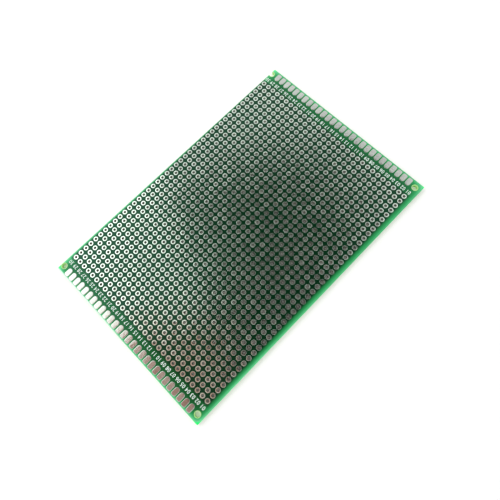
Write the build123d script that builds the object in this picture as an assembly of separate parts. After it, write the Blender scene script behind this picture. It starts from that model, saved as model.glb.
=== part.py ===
from build123d import *
import os

# A double-sided prototyping board: one sheet of glass-epoxy laminate with a grid of lead holes,
# a tinned pad round each hole, a column of tinned lands at each short end and a screw hole at
# each corner. Its back long edge is sheared a little askew, which opens one screw hole.
#
# Millimetres. x runs along the long side, y along the short side and z up. The board lies on
# its lower lands at z = 0, with the origin under the middle of its box.

# lead holes
pitch = 2.54
columns = 42
rows = 30
lead_hole_width = 1.0
pad_width = 1.95

# laminate blank, before the back edge was sheared
thickness = 1.6
end_margin = 7.93  # outer column of holes to the short edge
side_margin = 3.17  # outer row of holes to the long edge

# what the shear took off the blank's back edge, at each end
left_trim = 1.25
right_trim = 1.9

# screw holes
screw_hole_diameter = 2.2
screw_hole_inset = 2.5  # centre to both edges of the blank

# lands
land_length = 3.3
land_width = 2.0
land_setback = 0.45  # outer end of a land to the short edge
rows_without_land = 1  # at each end of the column of lands, beside the screw holes

tin_height = 0.05  # copper and tin, above and below the laminate

# The pads and lead holes are round, and are drawn here with a few flat sides. The holes that lie
# this many pitches apart, from row 1 and column 1 on, go right through. The other pads are closed.
bored_spacing = 7
bored_sides = 8
closed_sides = 4

half_length = (columns - 1) * pitch / 2 + end_margin
half_width = (rows - 1) * pitch / 2 + side_margin
blank_y = min(left_trim, right_trim) / 2  # middle of the blank, and of the grid of holes
front_y = blank_y - half_width
back_y = blank_y + half_width
top_z = tin_height + thickness


def column_x(column):
    return (column - (columns - 1) / 2) * pitch


def row_y(row):
    return blank_y + (row - (rows - 1) / 2) * pitch


def is_bored(row, column):
    return row % bored_spacing == 0 and column % bored_spacing == 0


def across_flats(width, sides):
    # turned so that a flat side faces each neighbour
    return RegularPolygon(width / 2, sides, major_radius=False, rotation=180 / sides)


def screw_hole_places():
    x = half_length - screw_hole_inset
    y = half_width - screw_hole_inset
    return [(sx * x, blank_y + sy * y) for sx in (-1, 1) for sy in (-1, 1)]


def board():
    outline = Polygon(
        (-half_length, front_y),
        (half_length, front_y),
        (half_length, back_y - right_trim),
        (-half_length, back_y - left_trim),
        align=None,
    )
    screw_hole = Circle(screw_hole_diameter / 2)
    lead_hole = across_flats(lead_hole_width, bored_sides)
    outline -= [Pos(x, y) * screw_hole for x, y in screw_hole_places()]
    outline -= [
        Pos(column_x(column), row_y(row)) * lead_hole
        for row in range(rows)
        for column in range(columns)
        if is_bored(row, column)
    ]
    return Pos(0, 0, tin_height) * extrude(outline, thickness)


def tin_dome(sides, peak):
    # tin that rises from a thin rim
    return loft([across_flats(pad_width, sides), Vertex(0, 0, peak)])


def closed_pad():
    return tin_dome(closed_sides, tin_height)


def bored_pad():
    # the dome reaches the tin height at the mouth of the hole
    peak = tin_height * pad_width / (pad_width - lead_hole_width)
    return tin_dome(bored_sides, peak) - extrude(across_flats(lead_hole_width, bored_sides), peak)


def pads_in_row(row, closed, bored):
    return [
        Pos(column_x(column), row_y(row), top_z) * (bored if is_bored(row, column) else closed)
        for column in range(columns)
    ]


def lands_in_column(side, z):
    land = extrude(Rectangle(land_length, land_width), tin_height).solid()
    x = side * (half_length - land_setback - land_length / 2)
    landed_rows = range(rows_without_land, rows - rows_without_land)
    return [Pos(x, row_y(row), z) * land for row in landed_rows]


def write(name, solids):
    export_step(Compound(solids), f"parts/{name}.step")


os.makedirs("parts", exist_ok=True)
write("board", board().solids())

closed = closed_pad().solid()
bored = bored_pad().solid()
for row in range(rows):
    write(f"pads_row_{row + 1:02d}", pads_in_row(row, closed, bored))

for end, side in (("left", -1), ("right", 1)):
    write(f"lands_{end}_top", lands_in_column(side, top_z))
    write(f"lands_{end}_underside", lands_in_column(side, 0))
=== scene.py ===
import math

import bmesh
import bpy
from mathutils import Matrix, Vector


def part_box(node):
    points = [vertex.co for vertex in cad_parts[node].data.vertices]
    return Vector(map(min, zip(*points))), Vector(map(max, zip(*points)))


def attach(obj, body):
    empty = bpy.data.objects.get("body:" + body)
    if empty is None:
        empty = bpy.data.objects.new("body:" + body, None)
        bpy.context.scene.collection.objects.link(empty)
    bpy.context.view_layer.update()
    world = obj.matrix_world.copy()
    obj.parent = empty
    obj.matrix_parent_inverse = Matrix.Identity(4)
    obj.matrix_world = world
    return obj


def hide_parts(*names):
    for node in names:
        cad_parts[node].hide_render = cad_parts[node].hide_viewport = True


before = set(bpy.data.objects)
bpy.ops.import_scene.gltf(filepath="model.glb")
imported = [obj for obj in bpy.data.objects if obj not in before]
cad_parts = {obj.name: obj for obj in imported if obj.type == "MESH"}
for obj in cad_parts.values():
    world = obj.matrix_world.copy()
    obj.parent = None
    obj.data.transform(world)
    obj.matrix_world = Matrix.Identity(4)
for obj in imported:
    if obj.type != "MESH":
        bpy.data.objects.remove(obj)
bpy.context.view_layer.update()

# Sizes are in millimetres. Meshes are built in millimetres and brought to metres when a piece is finished.
mm = 0.001


def nodeBox(node):
    low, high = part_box(node)
    return low / mm, high / mm


def paint(red, green, blue):
    # a colour as a picture shows it, 0 to 255, to the linear one that a shader takes
    steps = (red / 255, green / 255, blue / 255)
    return tuple(((s + 0.055) / 1.055) ** 2.4 if s > 0.04 else s / 12.92 for s in steps) + (1.0,)


class Signal:
    # one output of a node, with arithmetic
    def __init__(self, maker, socket):
        self.maker = maker
        self.socket = socket

    def also(self, output):
        # another output of the same node
        return Signal(self.maker, self.socket.node.outputs[output])

    def __add__(self, other):
        return self.maker.reckon("ADD", self, other)

    def __sub__(self, other):
        return self.maker.reckon("SUBTRACT", self, other)

    def __mul__(self, other):
        return self.maker.reckon("MULTIPLY", self, other)

    def __truediv__(self, other):
        return self.maker.reckon("DIVIDE", self, other)

    def __rsub__(self, other):
        return self.maker.reckon("SUBTRACT", other, self)

    def __rtruediv__(self, other):
        return self.maker.reckon("DIVIDE", other, self)

    def __abs__(self):
        return self.maker.reckon("ABSOLUTE", self)

    __radd__ = __add__
    __rmul__ = __mul__


def setStops(ramp, stops):
    while len(ramp.elements) < len(stops):
        ramp.elements.new(1.0)
    for element, (place, colour) in zip(ramp.elements, stops):
        element.position = place
        element.color = colour


class NodeMaker:
    # adds nodes to an emptied tree
    def __init__(self, tree):
        self.tree = tree
        tree.nodes.clear()

    def node(self, kind, settings, inputs, output=0):
        # an input takes a value, a signal or a list of signals
        made = self.tree.nodes.new(kind)
        for name, value in settings.items():
            if name == "stops":
                setStops(made.color_ramp, value)
            else:
                setattr(made, name, value)
        for key, value in inputs.items():
            several = value if isinstance(value, list) else [value]
            for given in several:
                if isinstance(given, Signal):
                    self.tree.links.new(given.socket, made.inputs[key])
                else:
                    made.inputs[key].default_value = given
        return Signal(self, made.outputs[output]) if len(made.outputs) else None

    def reckon(self, operation, *values):
        return self.node("ShaderNodeMath", {"operation": operation}, dict(enumerate(values)))

    def smaller(self, first, second):
        return self.reckon("MINIMUM", first, second)

    def length(self, first, second):
        return self.reckon("SQRT", first * first + second * second)

    def rise(self, value, low, high):
        # 0 below low, 1 above high, smooth between; high may be the smaller one
        span = {"Value": value, "From Min": low, "From Max": high}
        return self.node("ShaderNodeMapRange", {"interpolation_type": "SMOOTHSTEP"}, span)

    def blend(self, share, first, second):
        colours = {"Factor": share, 6: first, 7: second}
        return self.node("ShaderNodeMix", {"data_type": "RGBA"}, colours, output=2)

    def scaled(self, vector, scale):
        return self.node("ShaderNodeVectorMath", {"operation": "SCALE"}, {0: vector, "Scale": scale})

    def parts(self, vector):
        # the x, y and z of a vector
        x = self.node("ShaderNodeSeparateXYZ", {}, {0: vector})
        return x, x.also("Y"), x.also("Z")

    def noise(self, place, scale, detail):
        return self.node("ShaderNodeTexNoise", {}, {"Vector": place, "Scale": scale, "Detail": detail})

    def boardPlace(self):
        # where a point is on the board, in millimetres
        coordinates = self.node("ShaderNodeTexCoord", {}, {}, output="Object")
        return self.scaled(coordinates, 1 / mm)


def between(share, ends):
    first, last = ends
    return share * (last - first) + first


def newMaterial(name):
    material = bpy.data.materials.new(name)
    material.use_nodes = True
    return material, NodeMaker(material.node_tree)


def surface(maker, inputs):
    shader = maker.node("ShaderNodeBsdfPrincipled", {}, inputs)
    maker.node("ShaderNodeOutputMaterial", {}, {"Surface": shader})


def newTree(name, inputs):
    # an empty Geometry Nodes tree: its maker, its sockets by name and what they give inside it
    tree = bpy.data.node_groups.new(name, "GeometryNodeTree")
    sockets = {
        label: tree.interface.new_socket(name=label, in_out="INPUT", socket_type="NodeSocket" + kind)
        for label, kind in inputs.items()
    }
    tree.interface.new_socket(name="Piece", in_out="OUTPUT", socket_type="NodeSocketGeometry")
    maker = NodeMaker(tree)
    given = maker.node("NodeGroupInput", {}, {})
    return maker, sockets, {label: given.also(label) for label in inputs}


def repeatTree():
    # copies of the piece's own mesh along a straight line
    maker, sockets, given = newTree(
        "repeatAlongLine",
        {"Shape": "Geometry", "Count": "Int", "Start": "Vector", "Step": "Vector", "Material": "Material"},
    )
    line = maker.node(
        "GeometryNodeMeshLine",
        {"mode": "OFFSET"},
        {"Count": given["Count"], "Start Location": given["Start"], "Offset": given["Step"]},
    )
    copies = maker.node("GeometryNodeInstanceOnPoints", {}, {"Points": line, "Instance": given["Shape"]})
    joined = maker.node("GeometryNodeRealizeInstances", {}, {0: copies})
    painted = maker.node("GeometryNodeSetMaterial", {}, {0: joined, "Material": given["Material"]})
    maker.node("NodeGroupOutput", {}, {0: painted})
    return maker.tree, sockets


def sheetTree():
    # a flat outline with a grid of round holes, given its thickness
    maker, sockets, given = newTree(
        "drilledSheet",
        {
            "Outline": "Geometry",
            "Columns": "Int",
            "Rows": "Int",
            "Grid Length": "Float",
            "Grid Width": "Float",
            "Grid Middle": "Vector",
            "Hole Radius": "Float",
            "Hole Sides": "Int",
            "Bottom": "Float",
            "Thickness": "Float",
            "Weld": "Float",
            "Material": "Material",
        },
    )
    grid = maker.node(
        "GeometryNodeMeshGrid",
        {},
        {
            "Size X": given["Grid Length"],
            "Size Y": given["Grid Width"],
            "Vertices X": given["Columns"],
            "Vertices Y": given["Rows"],
        },
    )
    moved = maker.node("GeometryNodeTransform", {}, {0: grid, "Translation": given["Grid Middle"]})
    circle = maker.node(
        "GeometryNodeCurvePrimitiveCircle",
        {"mode": "RADIUS"},
        {"Resolution": given["Hole Sides"], "Radius": given["Hole Radius"]},
    )
    holes = maker.node("GeometryNodeInstanceOnPoints", {}, {"Points": moved, "Instance": circle})
    drilled = maker.node("GeometryNodeRealizeInstances", {}, {0: holes})
    edges = maker.node("GeometryNodeMeshToCurve", {}, {0: given["Outline"]})
    together = maker.node("GeometryNodeJoinGeometry", {}, {0: [edges, drilled]})
    face = maker.node("GeometryNodeFillCurve", {"mode": "TRIANGLES"}, {0: together})
    upwards = maker.node("ShaderNodeCombineXYZ", {}, {"Z": given["Thickness"]})
    top = maker.node("GeometryNodeExtrudeMesh", {}, {0: face, "Offset": upwards, "Individual": False})
    bottom = maker.node("GeometryNodeFlipFaces", {}, {0: face})
    closed = maker.node("GeometryNodeJoinGeometry", {}, {0: [top, bottom]})
    welded = maker.node("GeometryNodeMergeByDistance", {}, {0: closed, "Distance": given["Weld"]})
    lift = maker.node("ShaderNodeCombineXYZ", {}, {"Z": given["Bottom"]})  # Fill Curve works at zero height
    lifted = maker.node("GeometryNodeTransform", {}, {0: welded, "Translation": lift})
    painted = maker.node("GeometryNodeSetMaterial", {}, {0: lifted, "Material": given["Material"]})
    maker.node("NodeGroupOutput", {}, {0: painted})
    return maker.tree, sockets


def meshOf(shape, name):
    bmesh.ops.recalc_face_normals(shape, faces=shape.faces)
    mesh = bpy.data.meshes.new(name)
    shape.to_mesh(mesh)
    shape.free()
    return mesh


def evaluated(thing):
    # the plain mesh that a new object's curve or modifiers make; the object itself is removed
    bpy.context.scene.collection.objects.link(thing)
    graph = bpy.context.evaluated_depsgraph_get()
    graph.update()
    mesh = bpy.data.meshes.new_from_object(thing.evaluated_get(graph))
    bpy.data.objects.remove(thing)
    return mesh


def grown(mesh, recipe, values):
    # the mesh that a Geometry Nodes tree makes of this one
    tree, sockets = recipe
    holder = bpy.data.objects.new("holder", mesh)
    modifier = holder.modifiers.new("grow", "NODES")
    modifier.node_group = tree
    for name, value in values.items():
        modifier[sockets[name].identifier] = value
    return evaluated(holder)


def finishPiece(name, mesh, slot, *nodes):
    mesh.transform(Matrix.Scale(mm, 4))
    mesh.name = name
    piece = bpy.data.objects.new(name, mesh)
    bpy.context.scene.collection.objects.link(piece)
    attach(piece, "root")
    if nodes:
        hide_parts(*nodes)


def arc(centre, radius, start, end, steps):
    # points on an arc, angles in degrees
    turns = [math.radians(start + (end - start) * k / steps) for k in range(steps + 1)]
    return [(centre[0] + radius * math.cos(t), centre[1] + radius * math.sin(t)) for t in turns]


# The grid of lead holes
gridSettings = {
    "pitch": 2.54,
    "columns": 42,
    "leadHoleRadius": 0.5,
    "plating": 0.03,  # tin and copper on the wall of a lead hole
}
pitch = gridSettings["pitch"]
holeInLaminate = gridSettings["leadHoleRadius"] + gridSettings["plating"]

# What the frame says of the board, and of the first and last row of pads
boardLow, boardHigh = nodeBox("board")
rowNames = sorted(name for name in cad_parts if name.startswith("pads_row_"))
firstRowLow, firstRowHigh = nodeBox(rowNames[0])
lastRowLow, lastRowHigh = nodeBox(rowNames[-1])
padRadius = (firstRowHigh.y - firstRowLow.y) / 2
topOfTin = firstRowHigh.z
gridMiddleY = (firstRowLow.y + lastRowHigh.y) / 2
gridHalfX = firstRowHigh.x - padRadius
gridHalfY = (lastRowHigh.y - firstRowLow.y) / 2 - padRadius

# The laminate sheet
sheetSettings = {
    "blankWidth": 80.0,  # before the back edge was sheared
    "rightTrim": 1.9,  # what the shear took off at the right end
    "cornerRadius": 0.4,
    "cornerSteps": 6,
    "screwHoleRadius": 1.1,
    "screwHoleSides": 32,
    "openedSteps": 20,  # round what is left of the screw hole that the shear opened
    "screwInset": 2.5,
    "leadHoleSides": 16,
    "weld": 0.0005,
}
backRight = boardLow.y + sheetSettings["blankWidth"] - sheetSettings["rightTrim"]
blankMiddleY = boardLow.y + sheetSettings["blankWidth"] / 2
screwX = boardHigh.x - sheetSettings["screwInset"]
screwFromMiddle = sheetSettings["blankWidth"] / 2 - sheetSettings["screwInset"]


def sheetOutlines():
    # the sheet's edge, with the notch where the shear opened a screw hole, and the three whole screw holes
    radius = sheetSettings["cornerRadius"]
    steps = sheetSettings["cornerSteps"]
    hole = sheetSettings["screwHoleRadius"]
    left, right, front, back = boardLow.x, boardHigh.x, boardLow.y, boardHigh.y
    along = Vector((left - right, back - backRight)).normalized()
    outward = Vector((along.y, -along.x))  # square to the sheared edge
    opened = Vector((screwX, blankMiddleY + screwFromMiddle))
    depth = (Vector((right, backRight)) - opened).dot(outward)
    halfOpening = math.sqrt(hole * hole - depth * depth)
    lean = math.degrees(math.atan2(outward.y, outward.x))
    reach = math.degrees(math.atan2(halfOpening, depth))
    edge = arc((left + radius, front + radius), radius, 180, 270, steps)
    edge += arc((right - radius, front + radius), radius, 270, 360, steps)
    edge += arc((right - radius, backRight - radius), radius, 0, lean, steps)
    edge += arc(opened, hole, lean - reach, lean + reach - 360, sheetSettings["openedSteps"])
    edge += arc((left + radius, back - radius), radius, lean, 180, steps)
    outlines = [edge]
    for sx, sy in ((-1, -1), (1, -1), (-1, 1)):
        middle = (sx * screwX, blankMiddleY + sy * screwFromMiddle)
        outlines.append(arc(middle, hole, 0, 360, sheetSettings["screwHoleSides"])[:-1])
    return outlines


def outlineMesh(outlines):
    points, edges = [], []
    for outline in outlines:
        first = len(points)
        points += [(x, y, 0.0) for x, y in outline]
        edges += [(first + k, first + (k + 1) % len(outline)) for k in range(len(outline))]
    mesh = bpy.data.meshes.new("outline")
    mesh.from_pydata(points, edges, [])
    return mesh


maskFinish = {
    "paintedShadeGreen": paint(4, 38, 17),  # between the pads: painted shade, darker than the margins
    "openGreen": paint(12, 72, 30),  # in the margins
    "gridEdge": (-1.9, -0.6),  # from the outer holes, where one turns into the other
    # painted glow: these three greens stand in for light that comes out of the sheet beside its edges
    "nearEdge": paint(40, 142, 78),
    "atEdge": paint(104, 206, 144),
    "atCorner": paint(20, 244, 116),
    "glowSteps": (0.18, 0.46, 0.6),  # strength of the glow at which each of these three shows
    "glowReach": (1.1, 1.6),  # how far light that enters an edge reaches in, at the left and the right
    "glowLevel": (0.5, 0.34),
    "leftToRight": (-45.0, 40.0),  # x over which the left one turns into the right one
    "paintedSoftboxLight": paint(224, 246, 232),  # painted light: paler where the softbox shines on the left edge
    "paintedLightFrom": (-5.0, 20.0),  # y over which that begins
    "paintedLightWidth": (0.6, 0.15),  # from the edge
    "bareLaminate": paint(184, 228, 148),
    "edgeLaminate": paint(196, 226, 178),
    "bareRing": 0.16,  # laminate without mask round a screw hole
    "ringEdge": 0.06,
    "screwWall": (1.7, 1.3),  # from a screw hole's middle, where its wall's colour begins
    "filmHeight": (0.018, 0.03),  # from a face of the sheet, where the mask ends on the wall
    "mottle": (0.35, 4.0),  # scale and detail of a noise
    "weave": (2.2, 1.0),
    "skin": (1.3, 3.0),
    "plies": (1.0, 3.0),
    "plyStretch": (0.6, 0.6, 9.0),
    "shade": (0.35, 0.2, 0.72),  # what mottle and weave add, and the darkest
    "plyShade": (0.8, 1.2),
    "roughness": 0.14,
    "mottleRoughness": 0.1,
    "bareRoughness": 0.35,
    "sheen": (0.3, 0.95, 0.6, 1.0),
    "bump": (0.1, 0.00008),  # strength, and distance in metres
    "plyBump": 2.0,  # the wall's plies against the mask's skin
}


def maskMaterial():
    material, maker = newMaterial("solderMask")
    place = maker.boardPlace()
    x, y, z = maker.parts(place)
    mottle = maker.noise(place, *maskFinish["mottle"])
    weave = maker.noise(place, *maskFinish["weave"])
    skin = maker.noise(place, *maskFinish["skin"])

    # painted glow: brighter greens beside the sheet's edges, standing in for light that comes out of the
    # sheet there
    rightward = maker.rise(x, *maskFinish["leftToRight"])
    reach = between(rightward, maskFinish["glowReach"])
    level = between(rightward, maskFinish["glowLevel"])
    slope = (boardHigh.y - backRight) / (boardHigh.x - boardLow.x)
    fromBack = (boardHigh.y + backRight) / 2 - x * slope - y
    gaps = (boardHigh.x - abs(x), y - boardLow.y, fromBack)
    glow = sum(maker.reckon("EXPONENT", gap / reach * -1) for gap in gaps)
    shades = ("nearEdge", "atEdge", "atCorner")
    stops = [(0.0, maskFinish["openGreen"])]
    stops += [(step, maskFinish[shade]) for step, shade in zip(maskFinish["glowSteps"], shades)]
    green = maker.node("ShaderNodeValToRGB", {"stops": stops}, {0: glow * level})
    # painted light: the left edge turns paler where the softbox shines on it
    onLeftEdge = maker.rise(x - boardLow.x, *maskFinish["paintedLightWidth"])
    paintedSoftboxLight = onLeftEdge * maker.rise(y, *maskFinish["paintedLightFrom"])
    green = maker.blend(paintedSoftboxLight, green, maskFinish["paintedSoftboxLight"])

    # painted shade: the green turns darker among the pads
    insideGrid = maker.smaller(gridHalfX - abs(x), gridHalfY - abs(y - gridMiddleY))
    green = maker.blend(maker.rise(insideGrid, *maskFinish["gridEdge"]), green, maskFinish["paintedShadeGreen"])
    mottleShare, weaveShare, darkest = maskFinish["shade"]
    green = maker.scaled(green, mottle * mottleShare + weave * weaveShare + darkest)

    # laminate without mask: the sheet's wall, and a ring round each screw hole
    fromScrew = maker.length(abs(x) - screwX, abs(y - blankMiddleY) - screwFromMiddle)
    ringRadius = sheetSettings["screwHoleRadius"] + maskFinish["bareRing"]
    bare = maker.rise(fromScrew, ringRadius + maskFinish["ringEdge"], ringRadius - maskFinish["ringEdge"])
    onWall = maker.rise(maker.smaller(z - boardLow.z, boardHigh.z - z), *maskFinish["filmHeight"])
    stretched = {0: place, 1: maskFinish["plyStretch"]}
    plies = maker.node("ShaderNodeVectorMath", {"operation": "MULTIPLY"}, stretched)
    plyShade = maker.noise(plies, *maskFinish["plies"])
    inScrewHole = maker.rise(fromScrew, *maskFinish["screwWall"])
    wall = maker.blend(inScrewHole, maskFinish["edgeLaminate"], maskFinish["bareLaminate"])
    wall = maker.scaled(wall, between(plyShade, maskFinish["plyShade"]))
    colour = maker.blend(bare, green, maskFinish["bareLaminate"])
    colour = maker.blend(onWall, colour, wall)

    rough = maker.smaller(onWall + bare, 1.0) * maskFinish["bareRoughness"]
    strength, distance = maskFinish["bump"]
    height = skin + plyShade * onWall * maskFinish["plyBump"]
    bump = maker.node("ShaderNodeBump", {}, {"Strength": strength, "Distance": distance, "Height": height})
    surface(
        maker,
        {
            "Base Color": colour,
            "Roughness": mottle * maskFinish["mottleRoughness"] + maskFinish["roughness"] + rough,
            "Specular Tint": maskFinish["sheen"],
            "Normal": bump,
        },
    )
    return material


# The tin on the copper: rings round the lead holes with their plated walls, and the lands
tinFinish = {
    "thick": paint(211, 224, 213),
    "lands": paint(181, 186, 180),
    "thin": paint(164, 146, 127),  # copper shows through at the rim
    "thickness": (0.001, 0.02),  # above the laminate, where thin turns into thick
    "landsFrom": (1.5, 2.0),  # from the outer holes
    "insideHole": paint(168, 172, 160),
    "holeEdge": (0.6, 0.54),  # from a hole's middle
    "faceEdge": (-0.08, -0.02),  # from a face of the laminate
    "cloud": (0.5, 3.0),  # scale and detail of a noise
    "grain": (1.1, 2.0),
    "shade": (0.9, 1.1),
    "shadeSpread": 0.2,  # between one pad and another
    "roughness": (0.09, 0.19),
    "roughnessSpread": 0.08,
    "holeRoughness": 0.2,
    "holeDullness": 0.4,
    "bump": (0.5, 0.00006),  # strength, and distance in metres
}


def tinMaterial():
    material, maker = newMaterial("levelledTin")
    place = maker.boardPlace()
    x, y, z = maker.parts(place)
    cloud = maker.noise(place, *tinFinish["cloud"])
    grain = maker.noise(place, *tinFinish["grain"])

    # a number for each pad; a column of lands counts as the next column of holes
    alongX = x / pitch
    alongY = (y - gridMiddleY) / pitch
    column = maker.smaller(abs(alongX), gridSettings["columns"] / 2 + 0.5)
    padNumbers = {
        "X": maker.reckon("FLOOR", column),
        "Y": maker.reckon("FLOOR", alongY),
        "Z": maker.reckon("SIGN", x),
    }
    cell = maker.node("ShaderNodeCombineXYZ", {}, padNumbers)
    chance = maker.node("ShaderNodeTexWhiteNoise", {}, {"Vector": cell})

    acrossColumn = maker.reckon("FRACT", alongX) - 0.5
    acrossRow = maker.reckon("FRACT", alongY) - 0.5
    fromHole = maker.length(acrossColumn, acrossRow) * pitch
    aboveFace = abs(z - (boardLow.z + boardHigh.z) / 2) - (boardHigh.z - boardLow.z) / 2
    onFace = maker.rise(aboveFace, *tinFinish["faceEdge"])
    inHole = (1 - onFace) * maker.rise(fromHole, *tinFinish["holeEdge"])
    onLand = maker.rise(abs(x) - gridHalfX, *tinFinish["landsFrom"])
    colour = maker.blend(onLand, tinFinish["thick"], tinFinish["lands"])
    colour = maker.blend(maker.rise(aboveFace, *tinFinish["thickness"]), tinFinish["thin"], colour)
    shade = between(cloud, tinFinish["shade"]) + (chance - 0.5) * tinFinish["shadeSpread"]
    colour = maker.blend(inHole, maker.scaled(colour, shade), tinFinish["insideHole"])

    rough = between(cloud, tinFinish["roughness"]) + chance * tinFinish["roughnessSpread"]
    strength, distance = tinFinish["bump"]
    bump = maker.node("ShaderNodeBump", {}, {"Strength": strength, "Distance": distance, "Height": grain})
    surface(
        maker,
        {
            "Base Color": colour,
            "Metallic": 1 - inHole * tinFinish["holeDullness"],
            "Roughness": rough + inHole * tinFinish["holeRoughness"],
            "Normal": bump,
        },
    )
    return material


repeat = repeatTree()
mask = maskMaterial()
tin = tinMaterial()

laminateMesh = grown(
    outlineMesh(sheetOutlines()),
    sheetTree(),
    {
        "Columns": gridSettings["columns"],
        "Rows": len(rowNames),
        "Grid Length": 2 * gridHalfX,
        "Grid Width": 2 * gridHalfY,
        "Grid Middle": (0.0, gridMiddleY, 0.0),
        "Hole Radius": holeInLaminate,
        "Hole Sides": sheetSettings["leadHoleSides"],
        "Bottom": boardLow.z,
        "Thickness": boardHigh.z - boardLow.z,
        "Weld": sheetSettings["weld"],
        "Material": mask,
    },
)
finishPiece("laminate", laminateMesh, "green_laminate", "board")
print("laminate", len(laminateMesh.polygons), "faces")

eyeletSettings = {
    "segments": 10,
    "kneeRadius": 0.58,  # where the tin turns down into the hole
    "kneeDepth": 0.13,
    "crownRadius": 0.92,  # where it turns down to the pad's rim
    "crownDrop": 0.005,
}


def eyeletProfile():
    # radius and height, from the mouth over the upper pad, down the outside of the wall to the lower pad
    mouth = gridSettings["leadHoleRadius"]
    return [
        (mouth, topOfTin - eyeletSettings["kneeDepth"]),
        (eyeletSettings["kneeRadius"], topOfTin),
        (eyeletSettings["crownRadius"], topOfTin - eyeletSettings["crownDrop"]),
        (padRadius, boardHigh.z),
        (holeInLaminate, boardHigh.z),
        (holeInLaminate, boardLow.z),
        (padRadius, boardLow.z),
        (mouth, 0.0),
    ]


def eyeletMesh():
    # the closed profile turned about z, with a crease at each point
    profile = eyeletProfile()
    segments = eyeletSettings["segments"]
    shape = bmesh.new()
    rings = []
    for step in range(segments):
        turn = 2 * math.pi * (step + 0.5) / segments
        rings.append([shape.verts.new((r * math.cos(turn), r * math.sin(turn), z)) for r, z in profile])
    for ring, following in zip(rings, rings[1:] + rings[:1]):
        for k in range(len(profile)):
            after = (k + 1) % len(profile)
            shape.faces.new((ring[k], following[k], following[after], ring[after])).smooth = True
            shape.edges.get((ring[k], following[k])).smooth = False
    return meshOf(shape, "eyelet")


for name in rowNames:
    low, high = nodeBox(name)
    rowMesh = grown(
        eyeletMesh(),
        repeat,
        {
            "Count": gridSettings["columns"],
            "Start": (low.x + padRadius, (low.y + high.y) / 2, 0.0),
            "Step": (pitch, 0.0, 0.0),
            "Material": tin,
        },
    )
    finishPiece(name.replace("pads", "eyelets"), rowMesh, "tin", name)
print("eyelets", len(rowNames), "rows of", gridSettings["columns"])

landSettings = {
    "innerRadius": 0.95,  # corners towards the grid
    "outerRadius": 0.6,  # corners towards the short edge
    "cornerSteps": 5,
    "rim": ((0.0, 0.0), (0.04, 0.036), (0.12, 0.046), (0.3, 0.05)),  # drawn in by, and height
    "rowsWithout": 2,  # the first and the last, beside the screw holes
}


def landOutline(length, width, side, inset):
    points = []
    for sx, sy, start in ((1, -1, 270), (1, 1, 0), (-1, 1, 90), (-1, -1, 180)):
        radius = landSettings["outerRadius"] if sx == side else landSettings["innerRadius"]
        centre = (sx * (length / 2 - radius), sy * (width / 2 - radius))
        points += arc(centre, radius - inset, start, start + 90, landSettings["cornerSteps"])
    return points


def landMesh(length, width, side):
    # a thin plate with a soft rim
    shape = bmesh.new()
    rings = [
        [shape.verts.new((x, y, height)) for x, y in landOutline(length, width, side, inset)]
        for inset, height in landSettings["rim"]
    ]
    for low, high in zip(rings, rings[1:]):
        for k in range(len(low)):
            after = (k + 1) % len(low)
            shape.faces.new((low[k], low[after], high[after], high[k])).smooth = True
    shape.faces.new(rings[-1]).smooth = True
    shape.faces.new(rings[0][::-1])
    for edge in shape.edges:
        edge.smooth = any(corner not in rings[0] for corner in edge.verts)
    return meshOf(shape, "land")


for end, side in (("left", -1), ("right", 1)):
    for face in ("top", "underside"):
        name = f"lands_{end}_{face}"
        low, high = nodeBox(name)
        count = len(rowNames) - landSettings["rowsWithout"]
        width = high.y - low.y - (count - 1) * pitch
        land = landMesh(high.x - low.x, width, side)
        foot = low.z
        if face == "underside":
            land.transform(Matrix.Scale(-1, 4, Vector((0, 0, 1))))
            land.flip_normals()
            foot = high.z
        columnMesh = grown(
            land,
            repeat,
            {
                "Count": count,
                "Start": ((low.x + high.x) / 2, low.y + width / 2, foot),
                "Step": (0.0, pitch, 0.0),
                "Material": tin,
            },
        )
        finishPiece(name.replace("lands", "fingers"), columnMesh, "tin", name)
print("lands done")

# The printed row numbers
inkSettings = {
    "size": 2.15,
    "narrowing": 0.84,
    "spacing": 1.12,
    "height": 0.012,
    "curveSteps": 3,
    "weld": 0.0002,
    "fromGrid": {"left": 2.5, "right": 2.45},  # outer column of holes to the middle of a number
    "alongEnd": {"left": -0.25, "right": 0.0},  # a number's middle from its row's
    "colour": paint(244, 252, 248),
    "worn": paint(190, 228, 212),
    "wear": (3.0, 3.0),  # scale and detail of a noise
    "wornFrom": (0.52, 0.7),
    "roughness": (0.5, 0.7),
}


def inkMaterial():
    material, maker = newMaterial("whitePrint")
    wear = maker.rise(maker.noise(maker.boardPlace(), *inkSettings["wear"]), *inkSettings["wornFrom"])
    surface(
        maker,
        {
            "Base Color": maker.blend(wear, inkSettings["colour"], inkSettings["worn"]),
            "Roughness": between(wear, inkSettings["roughness"]),
        },
    )
    return material


def numberMesh(words):
    curve = bpy.data.curves.new("number", "FONT")
    curve.body = words
    curve.size = inkSettings["size"]
    curve.align_x = "CENTER"
    curve.align_y = "CENTER"
    curve.space_character = inkSettings["spacing"]
    curve.extrude = inkSettings["height"] / 2
    curve.resolution_u = inkSettings["curveSteps"]
    return evaluated(bpy.data.objects.new("number", curve))


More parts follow.
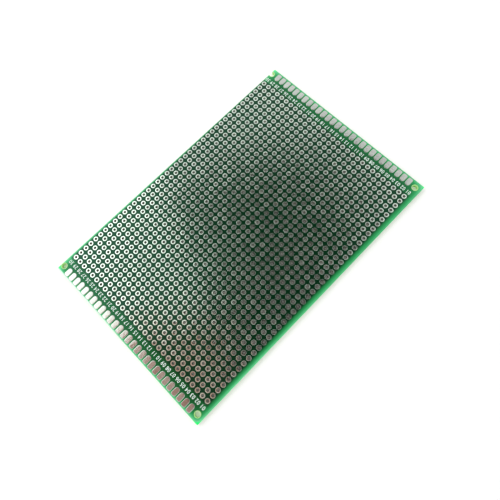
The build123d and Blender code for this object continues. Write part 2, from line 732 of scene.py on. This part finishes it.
ink = inkMaterial()
narrow = Matrix.Scale(inkSettings["narrowing"], 4, Vector((1, 0, 0)))
turned = Matrix.Rotation(math.radians(90), 4, "Z") @ narrow
for end, side in (("left", -1), ("right", 1)):
    shape = bmesh.new()
    for row, name in enumerate(rowNames, start=1):
        low, high = nodeBox(name)
        x = side * (gridHalfX + inkSettings["fromGrid"][end])
        y = (low.y + high.y) / 2 + inkSettings["alongEnd"][end]
        mesh = numberMesh(f"{row:02d}")
        mesh.transform(Matrix.Translation((x, y, boardHigh.z + inkSettings["height"] / 2)) @ turned)
        shape.from_mesh(mesh)
    bmesh.ops.remove_doubles(shape, verts=shape.verts, dist=inkSettings["weld"])
    numbers = bpy.data.meshes.new("numbers")
    shape.to_mesh(numbers)
    shape.free()
    numbers.materials.append(ink)
    finishPiece(f"row_numbers_{end}", numbers, None)
print("numbers done")

# Floor, light and camera
floorSettings = {
    "size": 6000.0,
    "gap": 0.02,  # below the board
    "colour": (0.9, 0.9, 0.9, 1.0),
    "roughness": 0.9,
}


def makeFloor():
    material, maker = newMaterial("paleFloor")
    surface(maker, {"Base Color": floorSettings["colour"], "Roughness": floorSettings["roughness"]})
    half = floorSettings["size"] / 2
    z = -floorSettings["gap"]
    mesh = bpy.data.meshes.new("floor")
    corners = [(-half, -half, z), (half, -half, z), (half, half, z), (-half, half, z)]
    mesh.from_pydata(corners, [], [(0, 1, 2, 3)])
    mesh.transform(Matrix.Scale(mm, 4))
    mesh.materials.append(material)
    floor = bpy.data.objects.new("floor", mesh)
    bpy.context.scene.collection.objects.link(floor)


# The studio's ceiling. Places and sizes on it are for a height of 1 above the board.
ceilingSettings = {
    "lowest": 0.02,
    # its dim part is an ellipse
    "dimMiddle": (0.09, 0.15),
    "dimHalf": (0.47, 0.35),
    "dimLean": 0.23,
    "dimEdge": (0.54, 1.23),  # where it starts to brighten and where it ends, in half widths
    "brightness": (0.01, 1.3),  # in it and outside it
    "byHeight": (0.55, 1.15),  # share of that at the horizon and straight above
    "brightSide": (-0.53, 0.85, 0.0),
    "sideShare": 0.25,  # how much brighter that side is than the mean
    # places that the tin mirrors: middle, half widths and colour
    "patches": (
        ((-0.22, 0.15), (0.16, 0.18), (0.66, 0.34, 0.27, 1.0)),
        ((0.01, 0.34), (0.147, 0.159), (0.3, 0.35, 0.32, 1.0)),
    ),
    "patchEdge": (1.3, 0.7),
    "whiteBelow": (0.42, 0.32),  # height over which what is seen of it turns white
    "white": (1.0, 1.0, 1.0, 1.0),
}


def makeCeiling():
    world = bpy.data.worlds.new("studio")
    world.use_nodes = True
    bpy.context.scene.world = world
    maker = NodeMaker(world.node_tree)
    x, y, z = maker.parts(maker.node("ShaderNodeTexCoord", {}, {}, output="Generated"))
    height = maker.reckon("MAXIMUM", z, ceilingSettings["lowest"])

    def fromMiddle(middle, half, lean=0.0):
        # in half widths of an ellipse
        beyond = y / height - middle[1]
        return maker.length((x / height - middle[0] - beyond * lean) / half[0], beyond / half[1])

    dimShape = [ceilingSettings[name] for name in ("dimMiddle", "dimHalf", "dimLean")]
    outside = maker.rise(fromMiddle(*dimShape), *ceilingSettings["dimEdge"])
    side = Vector(ceilingSettings["brightSide"]).normalized() * ceilingSettings["sideShare"]
    level = between(outside, ceilingSettings["brightness"])
    level = level * (x * side.x + y * side.y + 1) * between(z, ceilingSettings["byHeight"])
    colour = maker.node("ShaderNodeCombineXYZ", {}, {"X": level, "Y": level, "Z": level})
    for middle, half, shade in ceilingSettings["patches"]:
        inPatch = maker.rise(fromMiddle(middle, half), *ceilingSettings["patchEdge"])
        colour = maker.blend(inPatch, colour, shade)

    ray = maker.node("ShaderNodeLightPath", {}, {})
    seen = sum(ray.also(kind) for kind in ("Is Camera Ray", "Is Glossy Ray", "Is Transmission Ray"))
    low = maker.rise(z, *ceilingSettings["whiteBelow"])
    colour = maker.blend(maker.smaller(seen, 1.0) * low, colour, ceilingSettings["white"])
    light = maker.node("ShaderNodeBackground", {}, {"Color": colour, "Strength": 1.0})
    maker.node("ShaderNodeOutputWorld", {}, {"Surface": light})


panelSettings = {
    "middle": (-170.0, 411.0, 500.0),
    "width": 500.0,
    "turn": 65.0,  # degrees
    "radiance": 1.1,
}


def makePanel():
    light = bpy.data.lights.new("softbox", "AREA")
    light.shape = "SQUARE"
    light.size = panelSettings["width"] * mm
    light.energy = panelSettings["radiance"] * math.pi * light.size ** 2
    lamp = bpy.data.objects.new("softbox", light)
    lamp.location = Vector(panelSettings["middle"]) * mm
    lamp.rotation_euler.z = math.radians(panelSettings["turn"])
    bpy.context.scene.collection.objects.link(lamp)


cameraSettings = {
    "place": (-26.82, -40.52, 150.83),
    "looksAt": (-6.78, -5.58, 1.65),
    "up": (0.697, 0.672, 0.251),
    "lens": 29.52,
    "shiftX": 0.0251,
    "shiftY": 0.0006,
    "nearest": 5.0,
    "farthest": 20000.0,
}


def makeCamera():
    place = Vector(cameraSettings["place"])
    back = (place - Vector(cameraSettings["looksAt"])).normalized()
    right = Vector(cameraSettings["up"]).cross(back).normalized()
    up = back.cross(right)
    data = bpy.data.cameras.new("camera")
    data.lens = cameraSettings["lens"]
    data.shift_x = cameraSettings["shiftX"]
    data.shift_y = cameraSettings["shiftY"]
    data.clip_start = cameraSettings["nearest"] * mm
    data.clip_end = cameraSettings["farthest"] * mm
    camera = bpy.data.objects.new("camera", data)
    camera.matrix_world = Matrix.Translation(place * mm) @ Matrix((right, up, back)).transposed().to_4x4()
    bpy.context.scene.collection.objects.link(camera)
    bpy.context.scene.camera = camera


makeFloor()
makeCeiling()
makePanel()
makeCamera()
bpy.context.scene.view_settings.view_transform = "Standard"
print("stage, light and camera done")
